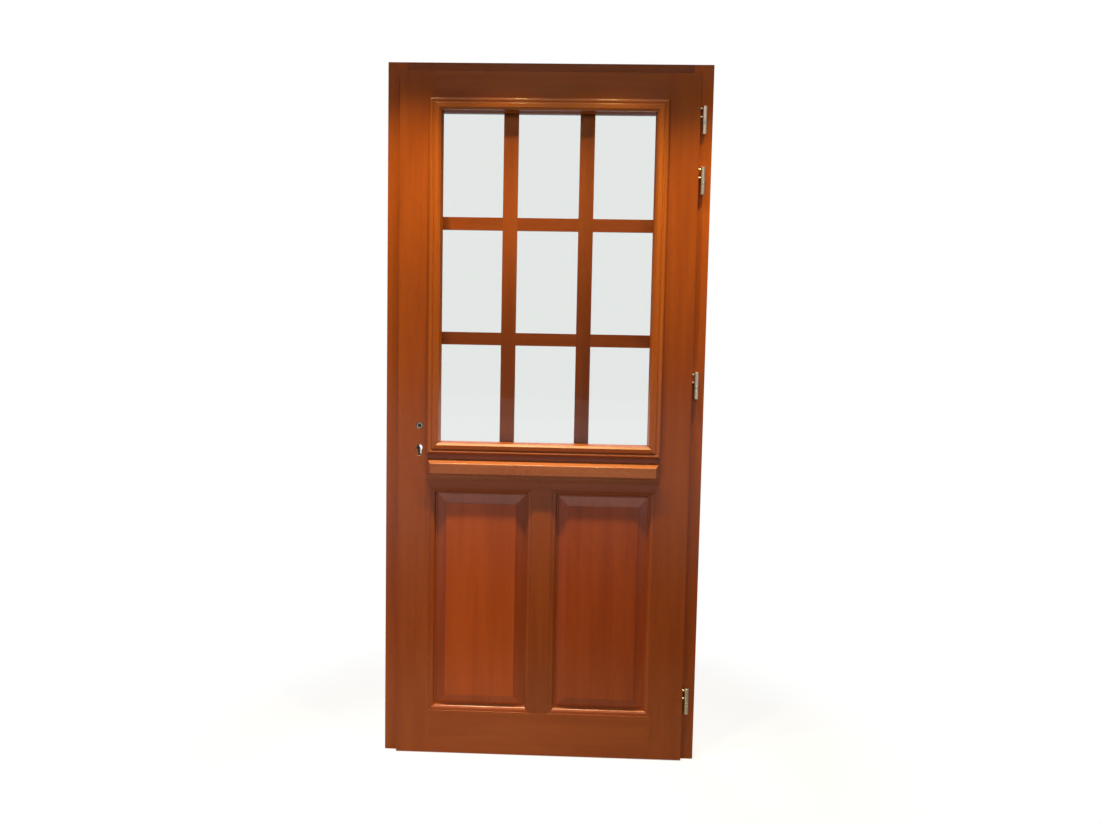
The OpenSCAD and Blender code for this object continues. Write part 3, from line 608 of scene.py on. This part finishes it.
def box_mask(n, coords, box):
    """Mask of a box given as its centre and half its size"""
    centre, half = box
    return n.group(box_group(), Place=coords, Centre=centre, Half_Size=half).outputs["Mask"]


def grain_place(n, coords, own, level):
    """Where the grain is looked up: turned for level wood, and shifted by each piece's own number"""
    shift = n.add("ShaderNodeCombineXYZ")
    for axis, factor in GRAIN_SHIFT.items():
        n.feed(shift.inputs[axis], n.math("MULTIPLY", own, factor))
    place = coords
    if level:
        turn = n.add("ShaderNodeVectorRotate", rotation_type="Y_AXIS")
        n.put(turn, Vector=coords, Angle=math.radians(90))
        place = turn.outputs["Vector"]
    return n.vector("ADD", place, shift.outputs["Vector"])


def wood_colour(n, grain, own, wood, tint):
    """Growth bands, fibres and pores, a little darker or paler from piece to piece"""
    dark = [part * factor for part, factor in zip(wood.dark, tint)]
    light = [part * factor for part, factor in zip(wood.light, tint)]
    colour = n.mix(n.ramp(grain["Band"], 0.32, 0.68), dark, light)
    colour = n.mix(n.ramp(grain["Fibre"], 0.35, 0.7, to_high=FIBRE_SHARE), colour, dark)
    colour = n.mix(n.math("MULTIPLY", grain["Pore"], wood.pore), colour, PORE_COLOUR)
    value = n.ramp(own, 0.0, 1.0, to_low=1.0 - PIECE_VARIATION, to_high=1.0 + PIECE_VARIATION)
    return n.put(n.add("ShaderNodeHueSaturation"), Color=colour, Value=value).outputs["Color"]


def wood_material(name, wood, tint=WHITE, level=False, bores=None, wear=0.0, ease=1.0, border=1.0):
    """Varnished wood with its grain upright, or level along x

    It is raw within the box of its bores and duller by its wear. Ease is a factor on the rounding of its
    edges and on the width of their pale band, which is worn edge and painted highlight. Border is a
    factor of painted shade on the colour of its slopes.
    """
    material, n, shader = new_material(name)
    coords = object_place(n)
    own = n.add("ShaderNodeObjectInfo").outputs["Random"]
    grain = n.group(grain_group(), Place=grain_place(n, coords, own, level)).outputs
    edge = n.group(edge_group(), Radius=wood.edge * ease).outputs
    touch = n.group(handling_group(), Place=coords).outputs

    colour = wood_colour(n, grain, own, wood, tint)
    # Paler edges: worn varnish, and where the band is widened a painted highlight
    colour = n.mix(n.math("MULTIPLY", edge["Mask"], WORN_EDGE_AND_HIGHLIGHT_SHARE), colour, WORN_EDGE_AND_HIGHLIGHT_COLOUR)
    colour = n.mix(n.math("MULTIPLY", touch["Dust"], DUST_SHARE), colour, DUST_COLOUR)
    satin = wood.roughness + wear
    rough = n.ramp(touch["Sheen"], 0.0, 1.0, satin - VARNISH_PATCHES, satin + VARNISH_PATCHES)
    rough = n.math("ADD", rough, n.math("MULTIPLY", grain["Pore"], PORE_ROUGHNESS))
    # Painted shade: sloped faces are darkened, while what faces the front, the back or downwards keeps its
    # colour
    if border < 1.0:
        shade = n.mix(1.0, colour, (border, border, border), "MULTIPLY")
        colour = n.mix(n.group(flat_group()).outputs["Mask"], shade, colour)
    if bores:
        raw = box_mask(n, coords, bores)
        colour = n.mix(raw, colour, n.mix(grain["Fibre"], RAW_WOOD_DARK, RAW_WOOD_LIGHT))
        rough = n.math("ADD", rough, n.math("MULTIPLY", raw, RAW_ROUGHNESS))
    relief = n.math("SUBTRACT", grain["Fibre"], grain["Pore"])
    normal = n.bump(relief, strength=0.5, distance=wood.relief, Normal=edge["Normal"])
    n.put(shader, Base_Color=colour, Roughness=rough, Normal=normal, Specular_IOR_Level=0.35)
    n.put(shader, Coat_Weight=0.12, Coat_Roughness=COAT_ROUGHNESS + wear)
    return material


def metal_material(name, colour, roughness, turned, hole=None):
    """Satin metal with turning marks or a rolled sheet's streaks, with painted shade within the box of its
    hole
    """
    material, n, shader = new_material(name)
    coords = object_place(n)
    stretch = (0.05, 0.05, 1.0) if turned else (1.0, 1.0, 0.15)
    marks = n.stretched(coords, stretch, scale=MARK_SCALE, rough=0.6)
    edge = n.group(edge_group(), Radius=METAL_EDGE).outputs
    tone = n.mix(n.ramp(marks, 0.3, 0.7, to_high=MARK_SHARE), colour, [MARK_SHADE * part for part in colour])
    tone = n.mix(n.math("MULTIPLY", edge["Mask"], BRIGHT_EDGE_SHARE), tone, BRIGHT_EDGE_COLOUR)
    # Painted shade: the inside of the hole is nearly black
    if hole:
        tone = n.mix(box_mask(n, coords, hole), tone, HOLE_SHADE_COLOUR)
    rough = n.ramp(marks, 0.2, 0.8, to_low=roughness - 0.06, to_high=roughness + 0.1)
    normal = n.bump(marks, strength=0.25, distance=0.00005, Normal=edge["Normal"])
    n.put(shader, Base_Color=tone, Roughness=rough, Normal=normal, Metallic=1.0)
    return material


def rubber_material():
    """Matt black seal with a faint bloom"""
    material, n, shader = new_material("Seal Rubber")
    bloom = n.noise(object_place(n), scale=120.0, detail=4.0, rough=0.6)
    colour = n.mix(n.ramp(bloom, 0.45, 0.8), RUBBER_COLOUR, BLOOM_COLOUR)
    rough = n.ramp(bloom, 0.3, 0.7, to_low=0.55, to_high=0.75)
    n.put(shader, Base_Color=colour, Roughness=rough, Normal=n.bump(bloom, strength=0.2, distance=0.0001))
    return material


def glass_material(glass):
    """Clear pane that shadows and bounced light pass straight through"""
    material, n, shader = new_material("Pane Glass")
    smear = n.noise(object_place(n), scale=5.0, detail=4.0, rough=0.6, distort=0.4)
    n.put(shader, Base_Color=glass.tint, IOR=glass.ior, Transmission_Weight=1.0)
    n.put(shader, Specular_Tint=(0.35, 0.35, 0.35), Roughness=n.ramp(smear, 0.5, 0.9, to_high=0.03))
    facing = n.add("ShaderNodeLayerWeight").outputs["Facing"]
    passed = n.ramp(n.math("POWER", facing, 3.0), 0.0, 1.0, to_low=0.96, to_high=0.0)
    clear = n.put(n.add("ShaderNodeBsdfTransparent"), Color=passed)
    path = n.add("ShaderNodeLightPath").outputs
    mirrored = n.math("SUBTRACT", path["Is Glossy Ray"], path["Is Transmission Ray"], clamp=True)
    bounced = n.math("MAXIMUM", path["Is Diffuse Ray"], mirrored)
    through = n.math("MAXIMUM", path["Is Shadow Ray"], bounced)
    mix = n.add("ShaderNodeMixShader")
    for socket, source in zip(mix.inputs, (through, shader.outputs["BSDF"], clear.outputs["BSDF"])):
        n.feed(socket, source)
    n.put(material.node_tree.nodes["Output"], Surface=mix.outputs["Shader"])
    return material


def paint(names, material):
    """Gives CAD nodes their material"""
    for name in names:
        mesh = frame["nodes"][name].data
        mesh.materials.clear()
        mesh.materials.append(material)


# Stage


def add_floor():
    """A pale floor that fades into the background and keeps the shadow near the door"""
    bpy.ops.mesh.primitive_plane_add(size=FLOOR_SIDE, location=(0.0, 0.0, 0.0))
    floor = bpy.context.active_object
    floor.name = "floor"
    material, n, shader = new_material("Pale Floor")
    path = n.add("ShaderNodeLightPath").outputs
    away = n.vector("LENGTH", object_place(n))
    far = n.ramp(away, FLOOR_NEAR, FLOOR_FAR)
    seen = n.math("MAXIMUM", path["Is Camera Ray"], path["Is Transmission Ray"])
    seen = n.math("MULTIPLY", seen, n.ramp(far, 0.0, 1.0, to_low=0.8, to_high=1.0))
    distant = n.ramp(away, FLOOR_FAR, FLOOR_MIRRORED, to_low=0.1, to_high=0.8)
    mirrored = n.math("MULTIPLY", path["Is Glossy Ray"], distant)
    n.put(shader, Base_Color=n.mix(far, FLOOR_GREY, BLACK), Roughness=0.9, Specular_IOR_Level=0.0)
    n.put(shader, Emission_Color=WHITE, Emission_Strength=n.math("MAXIMUM", seen, mirrored))
    floor.data.materials.append(material)


def add_lamp(name, kind, place, aim, watts, colour, **settings):
    """A lamp at a place that shines towards its aim"""
    lamp = bpy.data.lights.new(name, kind)
    lamp.energy = watts
    lamp.color = colour
    for key, value in settings.items():
        setattr(lamp, key, value)
    obj = bpy.data.objects.new(name, lamp)
    bpy.context.scene.collection.objects.link(obj)
    obj.location = place
    direction = [a - b for a, b in zip(aim, place)]
    flat = math.hypot(direction[0], direction[1])
    obj.rotation_euler = (math.atan2(flat, -direction[2]), 0.0, math.atan2(-direction[0], direction[1]))
    return obj


def add_ceiling_spots(stage):
    """Wide spots in a row close to the door, each with a narrow beam in its middle"""
    for index, (x, wide, narrow) in enumerate(CEILING_SPOTS, 1):
        for name, watts, cone, colour in (
            ("spot", stage.spot_watts * wide, SPOT_CONE, SPOT_COLOUR),
            ("beam", stage.beam_watts * narrow, BEAM_CONE, BEAM_COLOUR),
        ):
            spot = add_lamp(
                f"ceiling_{name}_{index}",
                "SPOT",
                (x, SPOT_Y, CEILING_HEIGHT),
                (x, SPOT_AIM_Y, 0.0),
                watts,
                colour,
                spot_size=cone,
                spot_blend=1.0,
                shadow_soft_size=BULB_RADIUS,
            )


def add_fills(stage):
    """Soft square lamps, of which one is mirrored in the varnish"""
    size = {"shape": "RECTANGLE", "size": FILL_SIDE, "size_y": FILL_SIDE}
    for name, place, aim, share, colour in FILLS:
        fill = add_lamp(name, "AREA", place, aim, share * stage.fill_watts, colour, **size)
        fill.visible_glossy = name == MIRRORED_FILL
        fill.visible_transmission = False
        fill.visible_camera = False


def add_white_room(scene, stage):
    """White background with weak light of its own, and a bright ceiling in what mirrors it"""
    world = bpy.data.worlds.new("White Room")
    scene.world = world
    world.use_nodes = True
    world.node_tree.nodes.clear()
    n = Nodes(world.node_tree)
    path = n.add("ShaderNodeLightPath").outputs
    seen = n.math("MAXIMUM", path["Is Camera Ray"], path["Is Transmission Ray"])
    height = n.split(n.add("ShaderNodeTexCoord").outputs["Generated"])["Z"]
    glow = n.ramp(height, *GLOW_START, to_low=GLOW_BELOW, to_high=GLOW_STRENGTH)
    glow = n.math("MULTIPLY", glow, n.ramp(height, *GLOW_END, to_low=1.0, to_high=GLOW_LEFT_OVERHEAD))
    mirrored = n.math("MULTIPLY", path["Is Glossy Ray"], glow)
    strength = n.math("MAXIMUM", n.math("MAXIMUM", seen, mirrored), stage.sky)
    sky = n.put(n.add("ShaderNodeBackground"), Color=WHITE, Strength=strength)
    n.put(n.add("ShaderNodeOutputWorld"), Surface=sky.outputs["Background"])


def add_camera(scene, stage):
    """The camera, as fitted to the lines of the door"""
    data = bpy.data.cameras.new("Camera")
    data.sensor_width = SENSOR_WIDTH
    data.lens = stage.lens
    camera = bpy.data.objects.new("Camera", data)
    scene.collection.objects.link(camera)
    camera.location = stage.camera
    camera.rotation_euler = stage.camera_turn
    scene.camera = camera


# Operators


class DOOR_OT_frame_wood(bpy.types.Operator):
    """Varnish the jambs and the head"""

    bl_idname = "door.frame_wood"
    bl_label = "Frame Wood"

    def execute(self, context):
        wood = context.scene.door_wood
        # Painted light: the jambs' tints brighten them
        paint(("jamb_left",), wood_material("Left Jamb Wood", wood, wood.jamb_left_painted_light))
        paint(("jamb_right",), wood_material("Right Jamb Wood", wood, wood.jamb_right_painted_light))
        # Painted shade: the head's tint darkens it
        paint(("frame_head",), wood_material("Head Wood", wood, wood.head_painted_shade, level=True))
        return {"FINISHED"}


class DOOR_OT_leaf_wood(bpy.types.Operator):
    """Varnish stiles, rails, mullion, panels and dado moulding"""

    bl_idname = "door.leaf_wood"
    bl_label = "Leaf Wood"

    def execute(self, context):
        wood = context.scene.door_wood
        paint(LEAF_UPRIGHT, wood_material("Leaf Wood Upright", wood))
        paint(("stile_lock",), wood_material("Lock Stile Wood", wood, bores=lock_bores()))
        paint(LEAF_LEVEL, wood_material("Leaf Wood Level", wood, level=True))
        # Painted shade on the left panel's sloped border
        left = wood_material("Left Panel Wood", wood, wood.panel_left_tint, border=wood.panel_left_border_painted_shade)
        paint(("panel_left",), left)
        paint(("panel_right",), wood_material("Right Panel Wood", wood, wood.panel_right_tint))
        # Painted sheen from its tint, and a painted highlight of its nose from its wide eased edge
        dado = wood_material("Dado Wood", wood, wood.dado_painted_sheen, level=True, wear=DADO_WEAR, ease=DADO_EASE_AND_NOSE_HIGHLIGHT)
        paint(("dado_moulding",), dado)
        return {"FINISHED"}


class DOOR_OT_glazing(bpy.types.Operator):
    """Finish beads, glazing bars and panes"""

    bl_idname = "door.glazing"
    bl_label = "Glazing"

    def execute(self, context):
        wood = context.scene.door_wood
        # Painted sheen on the beads, painted shade on the sill bead and painted light on the bars
        paint(BEAD_UPRIGHT, wood_material("Bead Wood Upright", wood, wood.bead_painted_sheen))
        paint(("bead_top",), wood_material("Bead Wood Level", wood, wood.bead_painted_sheen, level=True))
        sill = wood_material("Sill Bead Wood", wood, wood.sill_painted_shade, level=True, wear=SILL_WEAR)
        paint(("bead_bottom",), sill)
        paint(BAR_UPRIGHT, wood_material("Bar Wood Upright", wood, wood.bar_painted_light))
        paint(BAR_LEVEL, wood_material("Bar Wood Level", wood, wood.bar_painted_light, level=True))
        paint(PANES, glass_material(context.scene.door_glass))
        return {"FINISHED"}


class DOOR_OT_ironmongery(bpy.types.Operator):
    """Finish hinges, lock and strike plate, and give the latch spring a mesh of its own"""

    bl_idname = "door.ironmongery"
    bl_label = "Ironmongery"

    def execute(self, context):
        metal = context.scene.door_metal
        dull = metal.roughness + LOCK_DULLER
        paint(PLATED, metal_material("Hinge Plating", metal.plated, metal.roughness, True))
        paint(RINGS, metal_material("Hinge Steel", metal.steel, metal.roughness, True))
        paint(LOCK_STEEL, metal_material("Lock Steel", metal.steel, dull, False))
        paint(("follower",), metal_material("Follower Steel", metal.steel, dull, False, spindle_hole()))
        # The spring gets a mesh of its own
        coil = frame["nodes"]["latch_spring"]
        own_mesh(coil)
        return {"FINISHED"}


class DOOR_OT_threshold(bpy.types.Operator):
    """Finish the threshold and the seals"""

    bl_idname = "door.threshold"
    bl_label = "Threshold and Seals"

    def execute(self, context):
        metal = context.scene.door_metal
        dull = metal.roughness + THRESHOLD_DULLER
        paint(("threshold",), metal_material("Threshold Aluminium", metal.aluminium, dull, False))
        paint(SEALS, rubber_material())
        return {"FINISHED"}


class DOOR_OT_stage(bpy.types.Operator):
    """Set up floor, light, background and camera"""

    bl_idname = "door.stage"
    bl_label = "Stage"

    def execute(self, context):
        scene = context.scene
        stage = scene.door_stage
        add_floor()
        add_ceiling_spots(stage)
        add_fills(stage)
        add_white_room(scene, stage)
        add_camera(scene, stage)
        scene.view_settings.view_transform = "Standard"
        return {"FINISHED"}


class DOOR_PT_panel(bpy.types.Panel):
    """Sidebar panel of the door"""

    bl_label = "Glazed Front Door"
    bl_idname = "DOOR_PT_panel"
    bl_space_type = "VIEW_3D"
    bl_region_type = "UI"
    bl_category = "Door"

    def draw(self, context):
        for name in SETTINGS:
            group = getattr(context.scene, name)
            box = self.layout.box()
            for key in group.__annotations__:
                box.prop(group, key)
        for operator in OPERATORS:
            self.layout.operator(operator.bl_idname)


SETTINGS = {
    "door_wood": DoorWoodSettings,
    "door_metal": DoorMetalSettings,
    "door_glass": DoorGlassSettings,
    "door_stage": DoorStageSettings,
}
OPERATORS = (
    DOOR_OT_frame_wood,
    DOOR_OT_leaf_wood,
    DOOR_OT_glazing,
    DOOR_OT_ironmongery,
    DOOR_OT_threshold,
    DOOR_OT_stage,
)


def register():
    for name, group in SETTINGS.items():
        bpy.utils.register_class(group)
        setattr(bpy.types.Scene, name, PointerProperty(type=group))
    for operator in OPERATORS:
        bpy.utils.register_class(operator)
    bpy.utils.register_class(DOOR_PT_panel)


def unregister():
    bpy.utils.unregister_class(DOOR_PT_panel)
    for operator in reversed(OPERATORS):
        bpy.utils.unregister_class(operator)
    for name, group in SETTINGS.items():
        delattr(bpy.types.Scene, name)
        bpy.utils.unregister_class(group)


def main():
    register()
    bpy.ops.door.frame_wood()
    bpy.ops.door.leaf_wood()
    bpy.ops.door.glazing()
    bpy.ops.door.ironmongery()
    bpy.ops.door.threshold()
    bpy.ops.door.stage()


if __name__ == "__main__":
    main()
